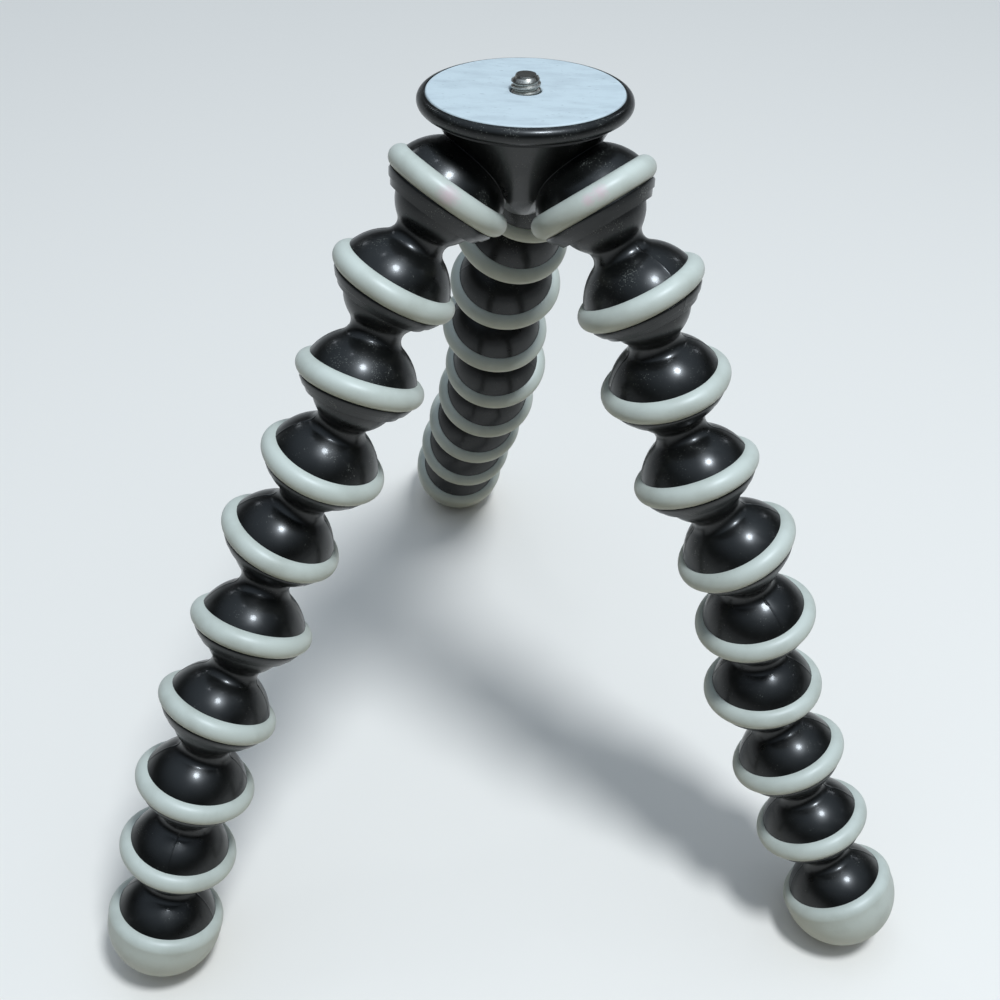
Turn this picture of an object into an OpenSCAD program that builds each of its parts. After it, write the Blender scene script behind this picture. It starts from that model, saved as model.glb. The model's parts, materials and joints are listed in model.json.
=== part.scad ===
// Flexible leg tripod: a round camera plate on a three-socket hub, and three legs of
// snapped-together ball and socket links that end in soft round feet.
// Millimetres. +Z is up, and the three feet stand level on z = 0. The left and right legs
// come forward, to -Y, and the back leg goes to +Y.

/* [Plate] */
// Outer diameter of the plate's round black rim
plate_d = 46.4; // [44:0.2:56]
// Height of the rounded rim, which is also the diameter of its section
rim_h = 3.7; // [3.3:0.1:5.6]
// Width of rim that shows outside the pad
rim_border = 1.8; // [1.4:0.1:2]
// Thickness of the plate's floor under the pad
plate_floor = 1.2; // [1:0.1:2]
// Thickness of the rubber pad
pad_t = 1.6; // [1.3:0.1:2.4]
// Width of the chamfer round the pad's top edge
pad_edge = 0.5; // [0.2:0.1:0.8]

/* [Camera screw] */
// Diameter of the camera screw, a quarter inch
screw_d = 6.35; // [5:0.05:9.5]
// Height of the screw above the pad
screw_h = 3.4; // [2.6:0.1:6]
// Height of the chamfer at the screw's tip
screw_tip = 0.6; // [0.3:0.1:0.9]
// Depth to which the screw's neck is turned down below the pad's top
neck_cut = 0.6; // [0.4:0.1:0.9]
// Diameter of the screw's captive head, below the plate
screw_head_d = 14; // [11:0.5:18]
// Thickness of the screw's captive head
screw_head_t = 2; // [1.5:0.1:3]

/* [Hub] */
// Height of the plate's flat underside above the plane of the socket centres
seat_h = 17.7; // [17:0.1:22]
// Distance of each socket's centre from the hub's axis
socket_offset = 19.4; // [18.6:0.1:22]
// Angle between each socket's axis and straight down
socket_tilt = 39; // [35:1:41]
// Diameter of the hub's top flange, the thin lip under the rim
flange_d = 40.8; // [36:0.2:42]
// Thickness of the flange that shows below the plate
flange_show = 1.3; // [0.8:0.1:1.8]
// Height of the flange that is let into the plate
flange_spigot = 0.8; // [0.5:0.1:1]
// Width of the flange that stands out past the top of the funnel-shaped post
flange_lip = 0.9; // [0.8:0.1:2]
// Diameter of the post where its underside starts
post_low_d = 23.6; // [20:0.2:25]
// Diameter of the post's flat bottom
post_end_d = 6.8; // [5:0.2:8]
// Height above the socket plane at which the post's underside starts
post_low_h = 1.5; // [1:0.1:3]
// Depth of the post's bottom below the socket plane
post_depth = 5.6; // [4.5:0.1:5.8]
// Radius of the fillet between the post and its flange
flare_r = 1; // [0.7:0.1:1.2]

/* [Links] */
// Distance from one ball's centre to the next
link_pitch = 23.2; // [22.4:0.1:26]
// Diameter of the balls
ball_d = 20.4; // [19.6:0.1:20.8]
// Gap all round between a ball and its socket
ball_gap = 0.3; // [0.2:0.05:0.4]
// Distance from a ball's centre to its flat open end
ball_flat = 7; // [6:0.1:8]
// Diameter of the hole that hollows a ball out
ball_bore = 10; // [6:0.5:11]
// Distance from a ball's centre to the bottom of that hole
bore_depth = 4; // [2:0.1:5]
// Thickness of the domed wall over a socket
dome_wall = 3; // [2.6:0.1:3.4]
// Smallest diameter of the waist between a ball and its dome
waist_d = 12; // [11:0.1:13]
// How far a socket's lip wraps past the ball's centre
lip_depth = 3.8; // [3.4:0.1:4.2]
// Diameter of the lip next to the grip ring
lip_d = 26.4; // [25:0.1:27]
// Width of the small step half way down the lip
lip_step = 0.4; // [0.2:0.05:0.6]
// Thickness of the lip at the socket's mouth
mouth_wall = 1.1; // [0.9:0.05:1.3]

/* [Grip rings and feet] */
// Outer diameter of the rubber grip rings
ring_d = 30; // [29:0.1:32]
// Width of a grip ring along the leg
ring_w = 5.4; // [4.8:0.1:5.6]
// Thickness of the socket wall under a grip ring
ring_seat = 1.4; // [1:0.1:1.6]
// Distance of a grip ring's middle above its socket's centre
ring_lift = 2.2; // [1.8:0.1:2.6]
// Diameter of the rubber foot's ball
foot_d = 29.8; // [28:0.1:31]
// Thickness of the black shell inside the rubber foot
foot_wall = 1.6; // [1.2:0.1:2.4]
// How far that shell reaches past the centre of the rubber foot's ball
foot_plug = 3; // [1:0.5:5]

/* [Hidden] */
$fn = 96;
black = "#1b1c1d";
grey = "#c3cbcc";
leg_names = ["left", "right", "back"];
leg_angles = [210, 330, 90];
ring_links = 8;
foot_link = ring_links + 1;

// Angle of each link from straight down, from the hub to the foot: left, right and back leg
link_lean = [
    [32, 25, 24, 29, 27, 30, 19, 16, 14],
    [31, 17, 25, 30, 17, 11, 25, 23, 26],
    [48, 35, 31, 31, 34, 37, 37, 38, 39]
];
// Angle by which each link turns aside from its leg's own direction, seen from above
link_turn = [
    [-5, 16, -17, -13, 22, 13, 1, -11, 2],
    [11, 30, 6, 28, 43, 39, 15, 15, 9],
    [-3, 30, 8, 18, 1, 17, 20, 17, 14]
];

// Length by which cutting and joining shapes pass through one another
pass = 1;
// Depth by which the fillet's round bites into the hub's post and its flange
flare_lap = 0.15;
// Depth by which the waist's round bites into the ball and the dome, so that they cross
waist_bite = 0.1;
// Running clearance round the camera screw
screw_gap = 0.15;
// Clearance all round the plate's spigot
spigot_gap = 0.1;

ball_r = ball_d / 2;
cavity_r = ball_r + ball_gap;
dome_r = cavity_r + dome_wall;
seat_r = cavity_r + ring_seat;
lip_end_r = sqrt(cavity_r * cavity_r - lip_depth * lip_depth) + mouth_wall;
hollow_r = seat_r - foot_wall;
ring_top = ring_lift + ring_w / 2;
ring_foot = ring_lift - ring_w / 2;
// Height at which the dome is let down over the ring's seat
dome_lap = 0.5;

rim_r = rim_h / 2;
rim_centre_r = plate_d / 2 - rim_r;
// The rim's section reaches a little below the plate's flat underside
rim_drop = 0.3;
rim_z = seat_h - rim_drop + rim_r;
pad_r = plate_d / 2 - rim_border;
pad_z = seat_h + flange_spigot + plate_floor;
pad_top = pad_z + pad_t;
flange_z = seat_h - flange_show;
post_top_r = flange_d / 2 - flange_lip;
// Angle between the post's funnel and its axis
post_flare = atan((post_top_r - post_low_d / 2) / (flange_z - post_low_h));
screw_head_z = seat_h + flange_spigot - screw_head_t;

// The waist is the inside of a torus that meets the ball and the dome.
// Its tube radius and its place along the link come from a quadratic.
waist_r = waist_d / 2;
bite_ball = ball_r - waist_bite;
waist_slope = (dome_r - ball_r) / link_pitch;
waist_start = (link_pitch * link_pitch
    - (dome_r - ball_r) * (ball_r + dome_r - 2 * waist_bite)) / (2 * link_pitch);
waist_half = waist_slope * waist_start + bite_ball - waist_r;
waist_rest = waist_start * waist_start - bite_ball * bite_ball + waist_r * waist_r;
waist_round = waist_rest
    / (waist_half + sqrt(waist_half * waist_half - waist_slope * waist_slope * waist_rest));
waist_mid = waist_start - waist_slope * waist_round;
waist_top = waist_mid * bite_ball / (bite_ball + waist_round);
waist_end = link_pitch
    - (link_pitch - waist_mid) * (dome_r - waist_bite) / (dome_r - waist_bite + waist_round);

// Direction of a link, from its ball to its socket
function link_dir(leg, k) =
    let (lean = link_lean[leg][k - 1], turn = leg_angles[leg] + link_turn[leg][k - 1])
    [sin(lean) * cos(turn), sin(lean) * sin(turn), -cos(lean)];

// Centre of a leg's socket in the hub
function socket_at(leg) =
    socket_offset * [cos(leg_angles[leg]), sin(leg_angles[leg]), 0];

// Centre of the ball of link k, counted from the hub
function ball_at(leg, k) =
    k <= 1 ? socket_at(leg) : ball_at(leg, k - 1) + link_pitch * link_dir(leg, k - 1);

// The feet say how the tripod leans as it stands
foot_at = [for (leg = [0 : 2]) ball_at(leg, foot_link + 1)];
floor_normal = cross(foot_at[1] - foot_at[0], foot_at[2] - foot_at[0]);
floor_up = floor_normal / norm(floor_normal);
stand_angle = acos(floor_up.z);
stand_cross = cross(floor_up, [0, 0, 1]);
stand_axis = norm(stand_cross) > 0 ? stand_cross / norm(stand_cross) : [1, 0, 0];

// A point turned from the hub's frame to the floor's
function stood(p) =
    p * cos(stand_angle) + cross(stand_axis, p) * sin(stand_angle)
    + stand_axis * (stand_axis * p) * (1 - cos(stand_angle));

foot_stood = [for (p = foot_at) stood(p)];
foot_x = [for (p = foot_stood) p.x];
foot_y = [for (p = foot_stood) p.y];
stand_origin = [
    (min(foot_x) + max(foot_x)) / 2,
    (min(foot_y) + max(foot_y)) / 2,
    foot_stood[0].z - foot_d / 2
];

// Moves what is built on the hub's axis to where the tripod stands
module standing() {
    translate(-stand_origin)
        rotate(a = stand_angle, v = stand_axis)
            children();
}

// Moves a link, built with its ball at the origin and its socket below, to its place
module on_leg(leg, k) {
    standing()
        translate(ball_at(leg, k))
            rotate([0, -link_lean[leg][k - 1], leg_angles[leg] + link_turn[leg][k - 1]])
                children();
}

// Moves a socket, built with its centre at the origin and its mouth down, to the hub
module on_hub(leg) {
    translate(socket_at(leg))
        rotate([0, -socket_tilt, leg_angles[leg]])
            children();
}

// Torus about Z
module torus(centre_r, tube_r) {
    rotate_extrude()
        translate([centre_r, 0])
            circle(r = tube_r);
}

// Dome over a socket, down to the top of its grip ring
module dome() {
    intersection() {
        sphere(r = dome_r);
        translate([0, 0, ring_top])
            cylinder(r = dome_r + pass, h = dome_r);
    }
}

// Seat of the grip ring and the lip that holds the ball, with a step half way
module socket_lip() {
    lip_r = lip_d / 2;
    lip_h = lip_depth + ring_foot;
    lip_edge = lip_h / 6;
    mid_r = (lip_r + lip_end_r + lip_step) / 2;
    mid_z = ring_foot - lip_edge - (lip_h - lip_edge) / 2;
    rotate_extrude()
        polygon([
            [0, ring_top + dome_lap],
            [seat_r, ring_top + dome_lap],
            [seat_r, ring_foot],
            [lip_r, ring_foot],
            [lip_r, ring_foot - lip_edge],
            [mid_r, mid_z],
            [mid_r - lip_step, mid_z],
            [lip_end_r, -lip_depth],
            [0, -lip_depth]
        ]);
}

// Rubber ring round a socket: flat on its seat, round outside
module grip_ring() {
    tube_r = ring_w / 2;
    translate([0, 0, ring_lift])
        difference() {
            torus(ring_d / 2 - tube_r, tube_r);
            cylinder(r = seat_r, h = ring_w + pass, center = true);
        }
}

// Hollow ball with a flat open end, and the waist below it
module ball_and_waist() {
    difference() {
        sphere(r = ball_r);
        translate([0, 0, ball_flat])
            cylinder(r = ball_r, h = ball_r);
        translate([0, 0, -bore_depth])
            cylinder(d = ball_bore, h = bore_depth + ball_flat + pass);
    }
    difference() {
        translate([0, 0, -waist_end])
            cylinder(r = waist_r + waist_round, h = waist_end - waist_top);
        translate([0, 0, -waist_mid])
            torus(waist_r + waist_round, waist_round);
    }
}

// A socket's solid before it is hollowed out
module socket_outside() {
    dome();
    socket_lip();
}

module link() {
    color(black)
        difference() {
            union() {
                ball_and_waist();
                translate([0, 0, -link_pitch])
                    socket_outside();
            }
            translate([0, 0, -link_pitch])
                sphere(r = cavity_r);
        }
}

module link_grip_ring() {
    color(grey)
        translate([0, 0, -link_pitch])
            grip_ring();
}

// Black core of a foot: ball, waist, dome and the hollow plug inside the rubber
module foot() {
    color(black)
        difference() {
            union() {
                ball_and_waist();
                translate([0, 0, -link_pitch])
                    dome();
                translate([0, 0, -link_pitch - foot_plug])
                    cylinder(r = seat_r, h = foot_plug + ring_top + dome_lap);
            }
            translate([0, 0, -link_pitch])
                sphere(r = hollow_r);
        }
}

// Rubber cup of a foot: its mouth is shaped like a grip ring, and its wall is a round bowl
module foot_cup() {
    tube_r = ring_w / 2;
    color(grey)
        translate([0, 0, -link_pitch])
            difference() {
                union() {
                    translate([0, 0, ring_lift])
                        torus(ring_d / 2 - tube_r, tube_r);
                    intersection() {
                        sphere(d = foot_d);
                        translate([0, 0, ring_lift - foot_d])
                            cylinder(d = foot_d + pass, h = foot_d);
                    }
                }
                translate([0, 0, -foot_plug])
                    cylinder(r = seat_r, h = foot_plug + ring_top + pass);
                sphere(r = hollow_r);
            }
}

// Post of the hub: a funnel with a conical underside, filleted to the flange it carries
module post() {
    reach = flare_r - flare_lap;
    fillet_z = flange_z - reach;
    fillet_centre_r = post_top_r + reach * (1 / cos(post_flare) - tan(post_flare));
    fillet_from_z = fillet_z + reach * sin(post_flare);
    translate([0, 0, -post_depth])
        cylinder(d1 = post_end_d, d2 = post_low_d, h = post_depth + post_low_h);
    translate([0, 0, post_low_h])
        cylinder(r1 = post_low_d / 2, r2 = post_top_r, h = flange_z - post_low_h);
    difference() {
        translate([0, 0, fillet_from_z])
            cylinder(r = fillet_centre_r, h = flange_z - fillet_from_z + flange_show / 2);
        translate([0, 0, fillet_z])
            torus(fillet_centre_r, flare_r);
    }
    translate([0, 0, flange_z])
        cylinder(d = flange_d, h = flange_show + flange_spigot);
}

module hub() {
    color(black)
        standing()
            difference() {
                union() {
                    post();
                    for (leg = [0 : 2])
                        on_hub(leg)
                            socket_outside();
                }
                for (leg = [0 : 2])
                    on_hub(leg)
                        sphere(r = cavity_r);
                translate([0, 0, screw_head_z])
                    cylinder(d = screw_head_d + 2 * screw_gap, h = screw_head_t + pass);
            }
}

module hub_grip_rings() {
    color(grey)
        standing()
            for (leg = [0 : 2])
                on_hub(leg)
                    grip_ring();
}

module top_plate() {
    color(black)
        standing()
            difference() {
                union() {
                    translate([0, 0, rim_z])
                        torus(rim_centre_r, rim_r);
                    translate([0, 0, seat_h])
                        cylinder(r = rim_centre_r, h = rim_r + pass);
                }
                translate([0, 0, pad_z])
                    cylinder(r = pad_r, h = rim_h);
                translate([0, 0, seat_h + flange_spigot - rim_h])
                    cylinder(d = flange_d + 2 * spigot_gap, h = rim_h);
                cylinder(d = screw_d + 2 * screw_gap, h = pad_top);
            }
}

module top_pad() {
    color(grey)
        standing()
            difference() {
                union() {
                    translate([0, 0, pad_z])
                        cylinder(r = pad_r, h = pad_t - pad_edge);
                    translate([0, 0, pad_top - pad_edge])
                        cylinder(r1 = pad_r, r2 = pad_r - pad_edge, h = pad_edge);
                }
                translate([0, 0, pad_z - pass])
                    cylinder(d = screw_d + 2 * screw_gap, h = pad_t + 2 * pass);
            }
}

// Captive screw: a flat head held under the plate, a turned-down neck and the threaded end
module camera_screw() {
    color("silver")
        standing() {
            translate([0, 0, screw_head_z])
                cylinder(d = screw_head_d, h = screw_head_t);
            translate([0, 0, screw_head_z])
                cylinder(d = screw_d - 2 * neck_cut, h = pad_top - screw_head_z + pass);
            translate([0, 0, pad_top])
                cylinder(d = screw_d, h = screw_h - screw_tip);
            translate([0, 0, pad_top + screw_h - screw_tip])
                cylinder(d1 = screw_d, d2 = screw_d - 2 * screw_tip, h = screw_tip);
        }
}

hub();
hub_grip_rings();
top_plate();
top_pad();
camera_screw();
for (leg = [0 : 2]) {
    for (k = [1 : ring_links]) {
        on_leg(leg, k) link();
        on_leg(leg, k) link_grip_ring();
    }
    on_leg(leg, foot_link) foot();
    on_leg(leg, foot_link) foot_cup();
}
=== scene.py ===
# Flexible leg tripod: three chains of black ball links with pale rubber rings, under a round camera plate.
import bmesh
import bpy
import json
import math
from mathutils import Matrix, Vector


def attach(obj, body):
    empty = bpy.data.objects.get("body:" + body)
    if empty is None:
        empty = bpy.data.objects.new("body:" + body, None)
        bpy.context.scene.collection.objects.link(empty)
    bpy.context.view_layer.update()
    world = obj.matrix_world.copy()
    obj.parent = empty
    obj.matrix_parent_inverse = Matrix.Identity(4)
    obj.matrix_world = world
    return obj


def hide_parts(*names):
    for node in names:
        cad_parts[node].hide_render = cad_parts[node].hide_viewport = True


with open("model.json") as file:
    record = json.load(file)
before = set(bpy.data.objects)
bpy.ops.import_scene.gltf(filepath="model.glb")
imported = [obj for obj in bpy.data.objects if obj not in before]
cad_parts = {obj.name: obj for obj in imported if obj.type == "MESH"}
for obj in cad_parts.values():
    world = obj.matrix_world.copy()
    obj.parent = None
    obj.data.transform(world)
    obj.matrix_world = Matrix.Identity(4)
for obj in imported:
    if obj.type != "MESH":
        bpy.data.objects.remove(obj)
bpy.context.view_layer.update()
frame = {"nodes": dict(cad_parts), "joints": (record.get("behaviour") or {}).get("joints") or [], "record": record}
joints = {joint["name"]: joint for joint in frame["joints"]}
mounts = {mount["name"]: mount for mount in frame["record"]["mounts"]}
legNames = ["left", "right", "back"]
linksPerLeg = 8
metre = 1000.0  # millimetres in it: meshes are shaped in millimetres and stored in metres


def hexColour(text):  # sRGB hex value to linear colour
    parts = [int(text[i:i + 2], 16) / 255 for i in (1, 3, 5)]
    linear = [c / 12.92 if c < 0.04045 else ((c + 0.055) / 1.055) ** 2.4 for c in parts]
    return (*linear, 1.0)


def addNode(tree, kind, settings, inputs):  # inputs are numbers, colours or the sockets to link
    node = tree.nodes.new(kind)
    for key, value in settings.items():
        setattr(node, key, value)
    for key, value in inputs.items():
        if isinstance(value, bpy.types.NodeSocket):
            tree.links.new(value, node.inputs[key])
        else:
            node.inputs[key].default_value = value
    return node


def calculate(tree, operation, *values):
    return addNode(tree, "ShaderNodeMath", {"operation": operation}, dict(enumerate(values))).outputs[0]


def makeNoise(tree, place, size, detail, roughness=0.5):
    inputs = {"Vector": place, "Scale": 1 / size, "Detail": detail, "Roughness": roughness}
    return addNode(tree, "ShaderNodeTexNoise", {}, inputs).outputs["Fac"]


def stretch(tree, place, turn, sizes):  # makes the noise that follows as long as sizes along turned axes
    inputs = {"Vector": place, "Rotation": turn, "Scale": [1 / size for size in sizes]}
    return addNode(tree, "ShaderNodeMapping", {}, inputs).outputs[0]


def mapSpan(tree, value, span, result, interpolation="LINEAR"):
    inputs = {"Value": value, 1: span[0], 2: span[1], 3: result[0], 4: result[1]}
    node = addNode(tree, "ShaderNodeMapRange", {"interpolation_type": interpolation}, inputs)
    return node.outputs["Result"]


def mixColours(tree, share, first, second):  # colours are values or sockets
    inputs = {0: share, 6: first, 7: second}
    return addNode(tree, "ShaderNodeMix", {"data_type": "RGBA"}, inputs).outputs[2]


def layOver(tree, colour, pattern, span, cover, text):  # where the pattern is strong, the hex colour covers
    return mixColours(tree, mapSpan(tree, pattern, span, (0.0, cover)), colour, hexColour(text))


def startMaterial(name, ior, roughness, metallic=0.0):  # the place it gives is in the object's millimetres
    material = bpy.data.materials.new(name)
    material.use_nodes = True
    tree = material.node_tree
    tree.nodes.clear()
    surface = addNode(tree, "ShaderNodeBsdfPrincipled", {},
                      {"IOR": ior, "Roughness": roughness, "Metallic": metallic})
    addNode(tree, "ShaderNodeOutputMaterial", {}, {"Surface": surface.outputs["BSDF"]})
    position = addNode(tree, "ShaderNodeTexCoord", {}, {}).outputs["Object"]
    place = addNode(tree, "ShaderNodeVectorMath", {"operation": "SCALE"}, {0: position, "Scale": metre})
    return material, tree, surface, place.outputs["Vector"]


def finishMaterial(tree, surface, colour, grain, height):  # the grain stands up to height millimetres
    tree.links.new(colour, surface.inputs["Base Color"])
    bump = addNode(tree, "ShaderNodeBump", {}, {"Strength": 1.0, "Distance": height / metre, "Height": grain})
    tree.links.new(bump.outputs["Normal"], surface.inputs["Normal"])


# Black gloss ABS, moulded in a polished tool: a sharp lamp image in a soft glow. Hands leave smears, and dust
# settles on the upper links and the hub
blackAbs = {
    "colour": "#0b0c0b", "ior": 1.5, "specular": 0.36, "roughness": 0.31, "coat": 0.2, "coatRoughness": 0.12,
    "mottleSize": 5.0, "mottleSpan": (0.3, 0.7), "mottleRoughness": (-0.05, 0.07),
    "smearSizes": (7.0, 2.8, 7.0), "smearTurn": (0.5, 0.3, 0.8), "smearSpan": (0.56, 0.7),
    "smearRoughness": 0.09,
    "dust": "#74766f", "dustSize": 0.3, "patchSize": 5.0, "patchShare": 0.6, "dustSpan": (1.0, 1.1),
    "dustCover": 0.6, "dustHeights": (110.0, 180.0), "dustFade": 0.07,
    "peelSize": 1.1, "peelHeight": 0.0045,
}


def makeBlackAbs():
    p = blackAbs
    material, tree, surface, place = startMaterial("black moulded ABS", p["ior"], p["roughness"])
    surface.inputs["Specular IOR Level"].default_value = p["specular"]
    surface.inputs["Coat Weight"].default_value = p["coat"]
    surface.inputs["Coat Roughness"].default_value = p["coatRoughness"]
    mottle = mapSpan(tree, makeNoise(tree, place, p["mottleSize"], detail=4.0), p["mottleSpan"],
                     [p["roughness"] + change for change in p["mottleRoughness"]])
    along = stretch(tree, place, p["smearTurn"], p["smearSizes"])
    smears = makeNoise(tree, along, size=1.0, detail=3.0)
    smears = mapSpan(tree, smears, p["smearSpan"], (0.0, p["smearRoughness"]))
    tree.links.new(calculate(tree, "ADD", mottle, smears), surface.inputs["Roughness"])
    height = addNode(tree, "ShaderNodeSeparateXYZ", {}, {0: place}).outputs["Z"]
    settled = mapSpan(tree, height, p["dustHeights"], (-p["dustFade"], 0.0))
    specks = makeNoise(tree, place, p["dustSize"], detail=1.0)
    patches = makeNoise(tree, place, p["patchSize"], detail=2.0)
    dust = calculate(tree, "ADD", calculate(tree, "MULTIPLY_ADD", patches, p["patchShare"], specks), settled)
    colour = layOver(tree, hexColour(p["colour"]), dust, p["dustSpan"], p["dustCover"], p["dust"])
    peel = makeNoise(tree, place, p["peelSize"], detail=2.0)
    finishMaterial(tree, surface, colour, peel, p["peelHeight"])
    return material


# Pale grey thermoplastic rubber, satin from handling: smudges, a few dark specks, a soft moulded grain. The
# hub's rings have faint pink rubs, each given by its centre and radius in millimetres
gripRubber = {
    "colour": "#c6cbc2", "ior": 1.5, "roughness": 0.42,
    "shade": "#b3b7ad", "smudgeSize": 9.0, "smudgeSpan": (0.45, 0.72), "smudgeCover": 0.8,
    "dirt": "#6d6c66", "speckSize": 0.5, "smudgeShare": 0.6, "dirtSpan": (1.1, 1.22), "dirtCover": 0.7,
    "scuff": "#e2a9bb", "scuffSpan": (0.7, 1.7), "scuffCover": 0.36,
    "grainSize": 0.35, "grainHeight": 0.006,
}
hubScuffs = (((-23.2, -42.0, 207.8), 2.5), ((7.6, -40.9, 210.6), 1.8), ((5.3, -41.8, 209.1), 1.5))


def makeGripRubber(name, scuffs=()):
    p = gripRubber
    material, tree, surface, place = startMaterial(name, p["ior"], p["roughness"])
    smudge = makeNoise(tree, place, p["smudgeSize"], detail=5.0)
    colour = layOver(tree, hexColour(p["colour"]), smudge, p["smudgeSpan"], p["smudgeCover"], p["shade"])
    specks = makeNoise(tree, place, p["speckSize"], detail=2.0)
    dirt = calculate(tree, "MULTIPLY_ADD", smudge, p["smudgeShare"], specks)
    colour = layOver(tree, colour, dirt, p["dirtSpan"], p["dirtCover"], p["dirt"])
    for centre, radius in scuffs:  # the specks make the rim of each rub ragged
        far = addNode(tree, "ShaderNodeVectorMath", {"operation": "DISTANCE"}, {0: place, 1: centre})
        ragged = calculate(tree, "MULTIPLY_ADD", specks, radius, far.outputs["Value"])
        rub = mapSpan(tree, ragged, [radius * share for share in p["scuffSpan"]], (p["scuffCover"], 0.0))
        colour = mixColours(tree, rub, colour, hexColour(p["scuff"]))
    grain = makeNoise(tree, place, p["grainSize"], detail=2.0)
    finishMaterial(tree, surface, colour, grain, p["grainHeight"])
    return material


# Cooler, flat moulded rubber of the pad: cloudy grey wipe marks and short dark scratches
padRubber = {
    "colour": "#c2cdd0", "ior": 1.5, "roughness": 0.5,
    "wipe": "#abb5b9", "wipeSizes": (9.0, 3.2, 3.2), "wipeTurn": -24.0, "wipeNoiseRoughness": 0.62,
    "wipeSpan": (0.45, 0.75), "wipeCover": 0.8,
    "scratch": "#70767a", "scratchSizes": (1.6, 0.26, 0.26), "scratchTurn": 28.0,
    "scratchSpan": (0.72, 0.77), "scratchCover": 0.8,
    "grainSize": 0.3, "grainHeight": 0.008,
}


def makePadRubber():
    p = padRubber
    material, tree, surface, place = startMaterial("pale pad rubber", p["ior"], p["roughness"])
    along = stretch(tree, place, (0, 0, math.radians(p["wipeTurn"])), p["wipeSizes"])
    wipes = makeNoise(tree, along, size=1.0, detail=6.0, roughness=p["wipeNoiseRoughness"])
    colour = layOver(tree, hexColour(p["colour"]), wipes, p["wipeSpan"], p["wipeCover"], p["wipe"])
    across = stretch(tree, place, (0, 0, math.radians(p["scratchTurn"])), p["scratchSizes"])
    scratches = makeNoise(tree, across, size=1.0, detail=1.0)
    colour = layOver(tree, colour, scratches, p["scratchSpan"], p["scratchCover"], p["scratch"])
    grain = makeNoise(tree, place, p["grainSize"], detail=2.0)
    finishMaterial(tree, surface, colour, grain, p["grainHeight"])
    return material


# Nickel plated steel: bright, with fine rolling marks and grime in them
platedSteel = {
    "colour": "#b9b7b0", "ior": 1.5, "roughness": 0.3, "markSize": 0.22, "markHeight": 0.012,
    "grime": "#4d493e", "grimeSpan": (0.42, 0.7), "grimeCover": 0.8,
}


def makePlatedSteel():
    p = platedSteel
    material, tree, surface, place = startMaterial("nickel plated steel", p["ior"], p["roughness"],
                                                   metallic=1.0)
    marks = makeNoise(tree, place, p["markSize"], detail=3.0)
    colour = layOver(tree, hexColour(p["colour"]), marks, p["grimeSpan"], p["grimeCover"], p["grime"])
    finishMaterial(tree, surface, colour, marks, p["markHeight"])
    return material


blackPlastic = makeBlackAbs()
rubber = makeGripRubber("pale grip rubber")
scuffedRubber = makeGripRubber("pale grip rubber with scuffs", hubScuffs)
padMaterial = makePadRubber()
steel = makePlatedSteel()
print("materials made")

# After a turn or a cut, corners closer than a weld become one and edges shorter than a sliver go, in
# millimetres. Edges that bend by more than the rounding's angle, in degrees, are rounded
turning = {"weld": 0.002, "sliver": 0.0005}
cutting = {"weld": 0.004, "sliver": 0.002}
rounding = {"segments": 3, "angle": 52.0}


def lineTo(mesh, corner, x, z):  # the next corner of a profile in the XZ plane
    new = mesh.verts.new((x, 0, z))
    if corner:
        mesh.edges.new((corner, new))
    return new


def linesTo(mesh, corner, *places):
    for x, z in places:
        corner = lineTo(mesh, corner, x, z)
    return corner


def arcTo(mesh, corner, centreX, centreZ, degrees, steps):  # clockwise is positive, with X right and Z up
    swept = bmesh.ops.spin(mesh, geom=[corner], cent=(centreX, 0, centreZ), axis=(0, 1, 0),
                           angle=math.radians(degrees), steps=steps)
    return next(part for part in swept["geom_last"] if isinstance(part, bmesh.types.BMVert))


# Turns the profile into a solid, in two halves that meet at the mould's parting line. A ridge angle puts one
# narrow row of faces on each side of that line
def turnRound(mesh, ridgeAngle=0.0, steps=48):
    last = mesh.verts[:] + mesh.edges[:]
    half = [(ridgeAngle, 1), (180 - 2 * ridgeAngle, steps), (ridgeAngle, 1)] if ridgeAngle else [(180, steps)]
    for degrees, count in half + half:
        last = bmesh.ops.spin(mesh, geom=last, cent=(0, 0, 0), axis=(0, 0, 1),
                              angle=math.radians(degrees), steps=count)["geom_last"]
    bmesh.ops.remove_doubles(mesh, verts=mesh.verts[:], dist=turning["weld"])
    bmesh.ops.dissolve_degenerate(mesh, edges=mesh.edges[:], dist=turning["sliver"])
    bmesh.ops.recalc_face_normals(mesh, faces=mesh.faces[:])
    mesh.normal_update()


def placeFrame(origin, up, side, twist=0.0):  # turns +Z to up and +X towards side
    z = up.normalized()
    y = z.cross(side).normalized()
    turned = Matrix((y.cross(z), y, z)).transposed().to_4x4()
    return Matrix.Translation(origin) @ turned @ Matrix.Rotation(math.radians(twist), 4, "Z")


def plainPiece(mesh, name):
    data = bpy.data.meshes.new(name)
    mesh.to_mesh(data)
    mesh.free()
    piece = bpy.data.objects.new(name, data)
    bpy.context.scene.collection.objects.link(piece)
    return piece


def finishPiece(mesh, name, material, bevel=0.0):  # the bevel is an edge radius in millimetres
    piece = plainPiece(mesh, name)
    piece.data.shade_smooth()
    piece.data.materials.append(material)
    if bevel:
        rounded = piece.modifiers.new("edge radius", "BEVEL")
        rounded.width = bevel / metre
        rounded.segments = rounding["segments"]
        rounded.limit_method = "ANGLE"
        rounded.angle_limit = math.radians(rounding["angle"])
        rounded.use_clamp_overlap = True
        weighted = piece.modifiers.new("weighted normals", "WEIGHTED_NORMAL")
        weighted.keep_sharp = True
    return piece


def standPiece(mesh, place):  # millimetres about the origin to metres in its place
    bmesh.ops.transform(mesh, matrix=place @ Matrix.Scale(1 / metre, 4), verts=mesh.verts[:])


def carry(piece, body, slotName, *nodes):
    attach(piece, body)
    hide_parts(*nodes)


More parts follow.
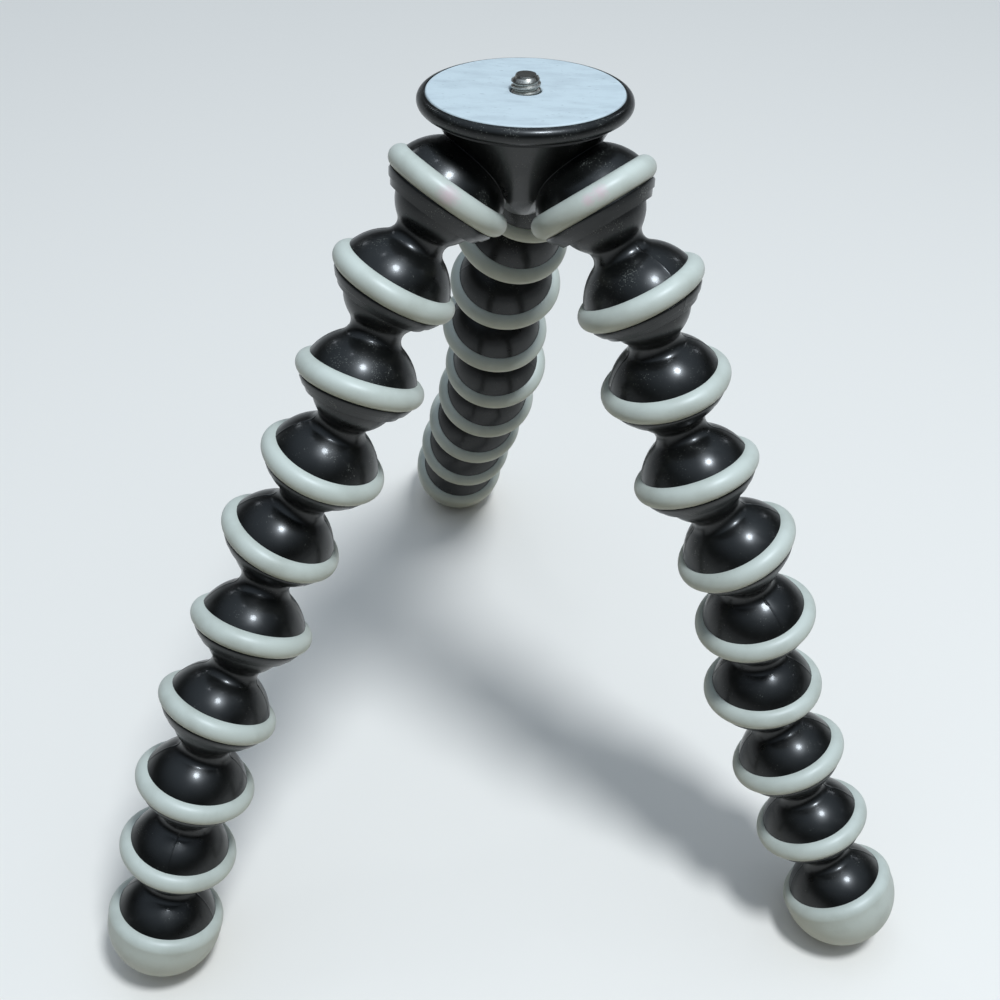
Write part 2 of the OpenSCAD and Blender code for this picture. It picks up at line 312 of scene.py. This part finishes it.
# One link: hollow ball, waist, domed socket and the lip that holds the next ball
linkSizes = {
    "pitch": 23.2, "ballRadius": 10.2, "ballFlat": 7.0, "boreRadius": 5.0, "boreDepth": 4.0,
    "waistRadius": 6.0, "cavityRadius": 10.5, "domeRadius": 13.5, "seatRadius": 11.9,
    "lipRadius": 13.2, "lipDepth": 3.8, "lipEdge": 0.55, "lipStep": 0.4, "mouthRadius": 10.89,
    "edgeRadius": 0.16, "seamAngle": 0.8, "seamHeight": 0.1, "seamStop": 0.1, "seamNearest": 1.0,
    "seamPlane": 0.003, "skinFrom": 10.8,
}
# Pale ring: flat on its seat, round outside
ringSizes = {"middleRadius": 12.3, "sectionRadius": 2.7, "lift": 2.2, "edgeRadius": 0.25}
ringTop = ringSizes["lift"] + ringSizes["sectionRadius"]
ringFoot = ringSizes["lift"] - ringSizes["sectionRadius"]
# Half the round part of the ring's section, in radians: the flat seat cuts off the rest
ringHalf = math.acos((linkSizes["seatRadius"] - ringSizes["middleRadius"]) / ringSizes["sectionRadius"])
# Foot: the cup's rounded mouth runs into a round bowl
footSizes = {
    "bowlRadius": 14.9, "bowlStart": 2.0, "mouthTurn": 8.0, "plugDepth": 3.0, "hollowRadius": 10.3,
    "skinFrom": 11.0,
}


def waistCentre():  # of the round that touches both the ball and the dome
    p = linkSizes
    ball, dome, waist, pitch = p["ballRadius"], p["domeRadius"], p["waistRadius"], p["pitch"]
    slope = (dome - ball) / pitch
    start = (pitch * pitch - (dome - ball) * (ball + dome)) / (2 * pitch)
    half = slope * start + ball - waist
    rest = start * start - ball * ball + waist * waist
    radius = rest / (half + math.sqrt(half * half - slope * slope * rest))
    return waist + radius, pitch - start + slope * radius


def ballAndWaist(mesh):  # profile from the bottom of the ball's bore down to the ring's top
    p = linkSizes
    flatAngle = math.degrees(math.asin(p["ballFlat"] / p["ballRadius"]))
    flatRadius = p["ballRadius"] * math.cos(math.radians(flatAngle))
    boreEnd, flatZ = p["pitch"] - p["boreDepth"], p["pitch"] + p["ballFlat"]
    corner = linesTo(mesh, None, (0, boreEnd), (p["boreRadius"], boreEnd), (p["boreRadius"], flatZ),
                     (flatRadius, flatZ))
    x, z = waistCentre()
    toBall = math.degrees(math.atan2(p["pitch"] - z, x))
    toDome = math.degrees(math.atan2(z, x))
    corner = arcTo(mesh, corner, 0, p["pitch"], flatAngle + toBall, steps=16)
    corner = arcTo(mesh, corner, x, z, -(toBall + toDome), steps=14)
    topAngle = math.degrees(math.asin(ringTop / p["domeRadius"]))
    return arcTo(mesh, corner, 0, 0, toDome - topAngle, steps=8)


def lipProfile(mesh, corner):  # the ring's seat and the stepped lip, down to the mouth
    p = linkSizes
    middleRadius = (p["lipRadius"] + p["mouthRadius"] + p["lipStep"]) / 2
    middleZ = (ringFoot - p["lipEdge"] - p["lipDepth"]) / 2
    return linesTo(mesh, corner, (p["seatRadius"], ringTop), (p["seatRadius"], ringFoot),
                   (p["lipRadius"], ringFoot), (p["lipRadius"], ringFoot - p["lipEdge"]),
                   (middleRadius, middleZ), (middleRadius - p["lipStep"], middleZ),
                   (p["mouthRadius"], -p["lipDepth"]))


def raiseSeam(mesh, low, skinFrom):  # lifts the parting line a hair above the skin, from low to the ball
    p = linkSizes
    for vert in mesh.verts:
        onLine = abs(vert.co.y) < p["seamPlane"] and abs(vert.co.x) > p["seamNearest"]
        if onLine and low < vert.co.z < p["pitch"] - p["ballRadius"] and vert.co.length > skinFrom:
            vert.co += vert.normal * p["seamHeight"]


def hollowProfile(mesh, corner, radius, depth, turn):  # a level line, then the hollow's round to the axis
    mouthAngle = math.asin(depth / radius)
    corner = lineTo(mesh, corner, radius * math.cos(mouthAngle), -depth)
    arcTo(mesh, corner, 0, 0, turn * 90 - math.degrees(mouthAngle), steps=12)


def linkMesh():
    p = linkSizes
    mesh = bmesh.new()
    corner = lipProfile(mesh, ballAndWaist(mesh))
    hollowProfile(mesh, corner, p["cavityRadius"], p["lipDepth"], turn=-1)
    turnRound(mesh, p["seamAngle"])
    raiseSeam(mesh, p["seamStop"] - p["lipDepth"], p["skinFrom"])
    return mesh


def ringMesh():
    p = ringSizes
    mesh = bmesh.new()
    first = lineTo(mesh, None, linkSizes["seatRadius"], p["lift"] + p["sectionRadius"] * math.sin(ringHalf))
    last = arcTo(mesh, first, p["middleRadius"], p["lift"], 2 * math.degrees(ringHalf), steps=26)
    mesh.edges.new((last, first))
    turnRound(mesh)
    return mesh


def footMesh():  # black core: ball, waist, dome and the plug inside the cup
    p, seat = footSizes, linkSizes["seatRadius"]
    mesh = bmesh.new()
    corner = linesTo(mesh, ballAndWaist(mesh), (seat, ringTop), (seat, -p["plugDepth"]))
    hollowProfile(mesh, corner, p["hollowRadius"], p["plugDepth"], turn=-1)
    turnRound(mesh, linkSizes["seamAngle"])
    raiseSeam(mesh, ringTop - linkSizes["seamStop"], p["skinFrom"])
    return mesh


def cupMesh():
    p, ring, seat = footSizes, ringSizes, linkSizes["seatRadius"]
    mesh = bmesh.new()
    first = lineTo(mesh, None, seat, ring["lift"] + ring["sectionRadius"] * math.sin(ringHalf))
    turn = math.degrees(ringHalf) + p["mouthTurn"]
    corner = arcTo(mesh, first, ring["middleRadius"], ring["lift"], turn, steps=16)
    start = math.radians(p["bowlStart"])
    corner = lineTo(mesh, corner, p["bowlRadius"] * math.cos(start), p["bowlRadius"] * math.sin(start))
    arcTo(mesh, corner, 0, 0, 90 + p["bowlStart"], steps=24)
    corner = lineTo(mesh, first, seat, -p["plugDepth"])
    hollowProfile(mesh, corner, p["hollowRadius"], p["plugDepth"], turn=1)
    turnRound(mesh)
    return mesh


def ballCentre(leg, k):
    return Vector(joints[f"{leg}_ball_{k}"]["pos_m"])


def footCentre(leg):  # the bowl's centre lies on the line from the ball to the middle of the cup's skin
    faces = frame["nodes"]["foot_cup_" + leg].data.polygons
    middle = sum((face.center * face.area for face in faces), Vector()) / sum(face.area for face in faces)
    ball = ballCentre(leg, linksPerLeg + 1)
    return ball + (middle - ball).normalized() * linkSizes["pitch"] / metre


# How far each link, and last the foot, has turned about its own axis: it sets where the parting line shows
linkTwist = {
    "left": [75, 84, -80, 88, -85, 78, -86, -5, 82],
    "right": [51, -72, -84, -78, 35, 86, -80, -85, -76],
    "back": [25, 82, -86, -88, 78, -84, 75, -80, 86],
}
for leg in legNames:
    centres = [ballCentre(leg, k) for k in range(1, linksPerLeg + 2)] + [footCentre(leg)]
    for k in range(1, linksPerLeg + 2):
        ball, socket = centres[k - 1], centres[k]
        place = placeFrame(socket, ball - socket, Vector((0, -1, 0)), linkTwist[leg][k - 1])
        isFoot = k > linksPerLeg
        core = footMesh() if isFoot else linkMesh()
        standPiece(core, place)
        skin = cupMesh() if isFoot else ringMesh()
        standPiece(skin, place)
        body = f"{leg}_foot" if isFoot else f"{leg}_link_{k}"
        name = leg if isFoot else f"{leg}_{k}"
        coreName, skinName = ("foot_", "foot_cup_") if isFoot else ("link_", "grip_ring_")
        piece = finishPiece(core, "moulded." + coreName + name, blackPlastic, linkSizes["edgeRadius"])
        carry(piece, body, "black_plastic", coreName + name)
        piece = finishPiece(skin, "moulded." + skinName + name, rubber, ringSizes["edgeRadius"])
        carry(piece, body, "grip_rubber", skinName + name)
    print("leg made:", leg)


# Hub: tapered post flared to a flange, and three domed sockets. The crease angle is in radians
hubSizes = {
    "socketTilt": 39.0, "postLow": 3.4, "postDepth": 5.6, "postMiddle": 11.8, "postMiddleZ": 1.5,
    "postTop": 19.5, "flareRadius": 0.85, "flangeZ": 16.4, "flangeRadius": 20.4, "flangeTop": 18.5,
    "pocketRadius": 7.15, "pocketZ": 16.5, "padTop": 21.3, "screwHalf": 1.4, "edgeRadius": 0.2,
    "seamWidth": 0.3, "seamHeight": 0.16, "creaseAngle": 0.2, "belowRing": 0.3, "offDome": 0.1,
}
screwMount = mounts["camera_screw"]
hubUp = Vector(screwMount["axis"]).normalized()
screwRise = (hubSizes["padTop"] + hubSizes["screwHalf"]) / metre
hubPlace = placeFrame(Vector(screwMount["pos_m"]) - hubUp * screwRise, hubUp, Vector((1, 0, 0)))


def postMesh():
    p = hubSizes
    mesh = bmesh.new()
    slope = math.atan((p["postTop"] - p["postMiddle"]) / (p["flangeZ"] - p["postMiddleZ"]))
    filletX = p["postTop"] + p["flareRadius"] * (1 / math.cos(slope) - math.tan(slope))
    filletZ = p["flangeZ"] - p["flareRadius"]
    meetX = filletX - p["flareRadius"] * math.cos(slope)
    meetZ = filletZ + p["flareRadius"] * math.sin(slope)
    corner = linesTo(mesh, None, (0, -p["postDepth"]), (p["postLow"], -p["postDepth"]),
                     (p["postMiddle"], p["postMiddleZ"]), (meetX, meetZ))
    corner = arcTo(mesh, corner, filletX, filletZ, 90 - math.degrees(slope), steps=8)
    linesTo(mesh, corner, (p["flangeRadius"], p["flangeZ"]), (p["flangeRadius"], p["flangeTop"]),
            (p["pocketRadius"], p["flangeTop"]), (p["pocketRadius"], p["pocketZ"]), (0, p["pocketZ"]))
    turnRound(mesh)
    return mesh


def socketMesh():
    p = linkSizes
    mesh = bmesh.new()
    corner = lineTo(mesh, None, 0, p["domeRadius"])
    topAngle = math.degrees(math.asin(ringTop / p["domeRadius"]))
    corner = lipProfile(mesh, arcTo(mesh, corner, 0, 0, 90 - topAngle, steps=20))
    lineTo(mesh, corner, 0, -p["lipDepth"])
    turnRound(mesh)
    return mesh


def combine(base, tools):  # joins or cuts solids in turn, and gives the result as a bmesh
    for tool, operation in tools:
        modifier = base.modifiers.new(tool.name, "BOOLEAN")
        modifier.object = tool
        modifier.operation = operation
        modifier.solver = "EXACT"
    bpy.context.view_layer.update()
    made = base.evaluated_get(bpy.context.evaluated_depsgraph_get()).data
    mesh = bmesh.new()
    mesh.from_mesh(made)
    for piece in [base] + [tool for tool, _ in tools]:
        data = piece.data
        bpy.data.objects.remove(piece)
        bpy.data.meshes.remove(data)
    bmesh.ops.remove_doubles(mesh, verts=mesh.verts[:], dist=cutting["weld"])
    bmesh.ops.dissolve_degenerate(mesh, edges=mesh.edges[:], dist=cutting["sliver"])
    return mesh


def findCreases(mesh, sockets):  # the edges above the rings where the domes meet the post and each other
    p = hubSizes
    creases = []
    for edge in mesh.edges:
        middle = (edge.verts[0].co + edge.verts[1].co) / 2
        seen = [place.inverted() @ middle for place in sockets]
        above = any(spot.z > ringTop - p["belowRing"] for spot in seen
                    if abs(spot.length - linkSizes["domeRadius"]) < p["offDome"])
        if above and len(edge.link_faces) == 2 and edge.calc_face_angle_signed(0) < -p["creaseAngle"]:
            creases.append(edge)
    return creases


def hubMesh():
    p = hubSizes
    tilt = math.radians(p["socketTilt"])
    intoHub = hubPlace.inverted()
    sockets = []
    for leg in legNames:
        centre = intoHub @ ballCentre(leg, 1) * metre
        outward = Vector((centre.x, centre.y, 0)).normalized()
        up = Vector((0, 0, math.cos(tilt))) - outward * math.sin(tilt)
        sockets.append(placeFrame(centre, up, outward))
    tools = []
    for place in sockets:
        dome = socketMesh()
        bmesh.ops.transform(dome, matrix=place, verts=dome.verts[:])
        tools.append((plainPiece(dome, "dome"), "UNION"))
    for place in sockets:
        hollow = bmesh.new()
        bmesh.ops.create_uvsphere(hollow, u_segments=96, v_segments=48, radius=linkSizes["cavityRadius"],
                                  matrix=place)
        tools.append((plainPiece(hollow, "hollow"), "DIFFERENCE"))
    mesh = combine(plainPiece(postMesh(), "post"), tools)
    bead = bmesh.ops.bevel(mesh, geom=findCreases(mesh, sockets), offset=p["seamWidth"], offset_type="OFFSET",
                           segments=4, profile=0.5, affect="EDGES", clamp_overlap=True, material=-1)
    mesh.normal_update()
    beadFaces = set(bead["faces"])
    for vert in {vert for face in beadFaces for vert in face.verts}:  # a hair of flash stands in the crease
        if all(face in beadFaces for face in vert.link_faces):
            vert.co += vert.normal * p["seamHeight"]
    return mesh, sockets


hub, hubSockets = hubMesh()
standPiece(hub, hubPlace)
hubPiece = finishPiece(hub, "moulded.hub", blackPlastic, hubSizes["edgeRadius"])
carry(hubPiece, "head", "black_plastic", "hub")
rings = bmesh.new()
for place in hubSockets:
    ring = ringMesh()
    bmesh.ops.transform(ring, matrix=place, verts=ring.verts[:])
    part = bpy.data.meshes.new("ring")
    ring.to_mesh(part)
    ring.free()
    rings.from_mesh(part)
    bpy.data.meshes.remove(part)
standPiece(rings, hubPlace)
ringsPiece = finishPiece(rings, "moulded.hub_grip_rings", scuffedRubber, ringSizes["edgeRadius"])
carry(ringsPiece, "head", "grip_rubber", "hub_grip_rings")
print("hub made")

# Plate: a disc with a half round rim, on the hub's flange. The pad lies in its recess
plateSizes = {
    "rimRadius": 1.85, "rimMiddle": 21.35, "rimZ": 19.25, "spigotZ": 18.5, "spigotRadius": 20.5,
    "padRadius": 21.4, "padZ": 19.7, "hole": 3.325, "edgeRadius": 0.2, "steps": 64,
}
padSizes = {"gap": 0.05, "edgeRadius": 0.5}


def plateMesh():
    p = plateSizes
    mesh = bmesh.new()
    start = math.pi - math.acos((p["rimMiddle"] - p["spigotRadius"]) / p["rimRadius"])
    end = math.acos((p["padRadius"] - p["rimMiddle"]) / p["rimRadius"])
    first = lineTo(mesh, None, p["spigotRadius"], p["rimZ"] - p["rimRadius"] * math.sin(start))
    corner = arcTo(mesh, first, p["rimMiddle"], p["rimZ"], -math.degrees(start + end), steps=28)
    corner = linesTo(mesh, corner, (p["padRadius"], p["padZ"]), (p["hole"], p["padZ"]),
                     (p["hole"], p["spigotZ"]), (p["spigotRadius"], p["spigotZ"]))
    mesh.edges.new((corner, first))
    turnRound(mesh, steps=p["steps"])
    return mesh


def padMesh():
    p = plateSizes
    mesh = bmesh.new()
    radius = p["padRadius"] - padSizes["gap"]
    top = hubSizes["padTop"]
    first = lineTo(mesh, None, p["hole"], p["padZ"])
    corner = linesTo(mesh, first, (radius, p["padZ"]), (radius, top), (p["hole"], top))
    mesh.edges.new((corner, first))
    turnRound(mesh, steps=p["steps"])
    return mesh


plate = plateMesh()
standPiece(plate, hubPlace)
platePiece = finishPiece(plate, "moulded.top_plate", blackPlastic, plateSizes["edgeRadius"])
carry(platePiece, "head", "black_plastic", "top_plate")
pad = padMesh()
standPiece(pad, hubPlace)
padPiece = finishPiece(pad, "moulded.top_pad", padMaterial, padSizes["edgeRadius"])
carry(padPiece, "head", "pad_rubber", "top_pad")
print("plate and pad made")

# Camera screw: captive head below the plate, and a quarter inch thread of 20 turns to the inch
screwSizes = {
    "headRadius": 7.0, "headZ": 16.5, "headTop": 18.5, "coreRadius": 2.55, "coreFlare": 0.12,
    "tipZ": 24.7, "tipRadius": 2.15, "tipChamfer": 1.1, "threadRadius": 3.175, "pitch": 1.27,
    "threadFrom": 20.2, "threadTurns": 3.0, "threadSunk": 0.25, "rootHalf": 0.6, "crestHalf": 0.14,
    "fade": 1.3, "fadeSunk": 0.1, "coreSteps": 32, "threadSteps": 64, "sharpAngle": 30,
}


def threadMesh():
    p = screwSizes
    mesh = bmesh.new()
    inside = p["coreRadius"] - p["threadSunk"]
    half = [(inside, p["rootHalf"]), (p["coreRadius"], p["rootHalf"]), (p["threadRadius"], p["crestHalf"])]
    outline = [(x, p["threadFrom"] - z) for x, z in half]
    outline += [(x, p["threadFrom"] + z) for x, z in reversed(half)]
    first = lineTo(mesh, None, *outline[0])
    mesh.edges.new((linesTo(mesh, first, *outline[1:]), first))
    bmesh.ops.spin(mesh, geom=mesh.verts[:] + mesh.edges[:], cent=(0, 0, 0), axis=(0, 0, 1),
                   dvec=(0, 0, p["pitch"] / p["threadSteps"]), angle=math.radians(360 * p["threadTurns"]),
                   steps=int(p["threadSteps"] * p["threadTurns"]))
    bmesh.ops.holes_fill(mesh, edges=mesh.edges[:], sides=0)
    bmesh.ops.recalc_face_normals(mesh, faces=mesh.faces[:])
    sunkRadius = p["coreRadius"] - p["fadeSunk"]
    for vert in mesh.verts:  # the thread runs out at the chamfered tip
        radius = math.hypot(vert.co.x, vert.co.y)
        room = max(0.0, min(1.0, (p["tipZ"] - vert.co.z) / p["fade"]))
        limit = sunkRadius + (p["threadRadius"] - sunkRadius) * room
        if radius > limit:
            vert.co.x *= limit / radius
            vert.co.y *= limit / radius
    return mesh


def screwMesh():
    p = screwSizes
    core = bmesh.new()
    linesTo(core, None, (0, p["headZ"]), (p["headRadius"], p["headZ"]), (p["headRadius"], p["headTop"]),
            (p["coreRadius"], p["headTop"]), (p["coreRadius"] + p["coreFlare"], p["tipZ"] - p["tipChamfer"]),
            (p["tipRadius"], p["tipZ"]), (0, p["tipZ"]))
    turnRound(core, steps=p["coreSteps"])
    mesh = combine(plainPiece(core, "screw core"), [(plainPiece(threadMesh(), "thread"), "UNION")])
    for edge in mesh.edges:  # the thread's edges are too fine for a bevel, so they only shade sharp
        edge.smooth = edge.calc_face_angle(0.0) < math.radians(p["sharpAngle"])
    return mesh


screw = screwMesh()
standPiece(screw, hubPlace)
carry(finishPiece(screw, "turned.camera_screw", steel), "head", "screw_metal", "camera_screw")
print("screw made")

# Plain pale table, a soft sky and the few ceiling lamps whose images show on the domes. Table and sky are
# shown pale, but the light they give the object is a wooden table's warm bounce and a dark room's low walls
stageSizes = {
    "floor": 12.0, "floorDrop": 0.0001, "floorColour": "#f0e9e0", "bounceColour": "#b4a78f",
    "floorIor": 1.45, "floorRoughness": 0.75, "zenith": "#b6c6d6", "zenithSpan": (0.3, 1.0),
    "horizon": "#1d1c1a", "backdrop": "#8e9296", "backdropSpan": (0.08, 0.16), "skyStrength": 1.35,
    "lampTarget": (0.0, -0.05, 0.11),
}
lamps = {  # name: direction from the target, distance, size, power and colour
    "overhead": ((0.203, -0.208, 0.957), 1.25, 0.25, 13.4, "#e7f1fa"),
    "second": ((-0.176, 0.189, 0.966), 1.5, 0.10, 0.4, "#eef6ff"),
    "backLeft": ((-0.537, 0.678, 0.502), 1.6, 0.14, 0.35, "#eef6ff"),
    "backRight": ((0.515, 0.689, 0.509), 1.6, 0.14, 0.35, "#eef6ff"),
    "right": ((0.82, 0.17, 0.55), 1.6, 0.06, 0.08, "#eef6ff"),
}


def seenRay(tree):  # 1 where the surface or sky is seen or mirrored, 0 where it only lights the object
    ray = addNode(tree, "ShaderNodeLightPath", {}, {}).outputs
    seen = calculate(tree, "MAXIMUM", ray["Is Camera Ray"], ray["Is Glossy Ray"])
    return calculate(tree, "MAXIMUM", seen, ray["Is Transmission Ray"])


floorMesh = bmesh.new()
bmesh.ops.create_grid(floorMesh, x_segments=1, y_segments=1, size=stageSizes["floor"] * metre)
floor = plainPiece(floorMesh, "table")
floor.data.transform(Matrix.Translation((0, 0, -stageSizes["floorDrop"])) @ Matrix.Scale(1 / metre, 4))
floorMaterial, floorTree, floorSurface, _ = startMaterial("pale table", stageSizes["floorIor"],
                                                          stageSizes["floorRoughness"])
tableTone = mixColours(floorTree, seenRay(floorTree), hexColour(stageSizes["bounceColour"]),
                       hexColour(stageSizes["floorColour"]))
floorTree.links.new(tableTone, floorSurface.inputs["Base Color"])
floor.data.materials.append(floorMaterial)
for name, (direction, distance, size, power, colour) in lamps.items():
    light = bpy.data.lights.new(name, "AREA")
    light.shape = "DISK"
    light.size = size
    light.energy = power
    light.color = hexColour(colour)[:3]
    holder = bpy.data.objects.new(name, light)
    away = Vector(direction).normalized()
    holder.location = Vector(stageSizes["lampTarget"]) + away * distance
    holder.rotation_euler = away.to_track_quat("Z", "Y").to_euler()
    bpy.context.scene.collection.objects.link(holder)
world = bpy.data.worlds.new("soft sky")
world.use_nodes = True
skyTree = world.node_tree
sky = skyTree.nodes["Background"]
sky.inputs["Strength"].default_value = stageSizes["skyStrength"]
toSky = addNode(skyTree, "ShaderNodeTexCoord", {}, {}).outputs["Generated"]
skyHeight = addNode(skyTree, "ShaderNodeSeparateXYZ", {}, {0: toSky}).outputs["Z"]
climb = mapSpan(skyTree, skyHeight, stageSizes["zenithSpan"], (0.0, 1.0), "SMOOTHSTEP")
band = mapSpan(skyTree, skyHeight, stageSizes["backdropSpan"], (1.0, 0.0), "SMOOTHSTEP")
shown = calculate(skyTree, "MULTIPLY", seenRay(skyTree), band)
walls = mixColours(skyTree, shown, hexColour(stageSizes["horizon"]), hexColour(stageSizes["backdrop"]))
skyTone = mixColours(skyTree, climb, walls, hexColour(stageSizes["zenith"]))
skyTree.links.new(skyTone, sky.inputs["Color"])
bpy.context.scene.world = world
bpy.context.scene.view_settings.view_transform = "Standard"
print("table, lamps and sky made")

# Camera at the photograph's place, held close above the two front legs
cameraSizes = {
    "place": (0.003214, -0.306933, 0.364832), "turn": (47.8813, -2.115, 4.6803), "lens": 53.2304,
    "sensor": 36.0, "nearest": 0.01,
}
cameraData = bpy.data.cameras.new("camera")
cameraData.lens = cameraSizes["lens"]
cameraData.sensor_width = cameraSizes["sensor"]
cameraData.clip_start = cameraSizes["nearest"]
camera = bpy.data.objects.new("camera", cameraData)
camera.location = cameraSizes["place"]
camera.rotation_euler = [math.radians(angle) for angle in cameraSizes["turn"]]
bpy.context.scene.collection.objects.link(camera)
bpy.context.scene.camera = camera

bpy.context.view_layer.update()
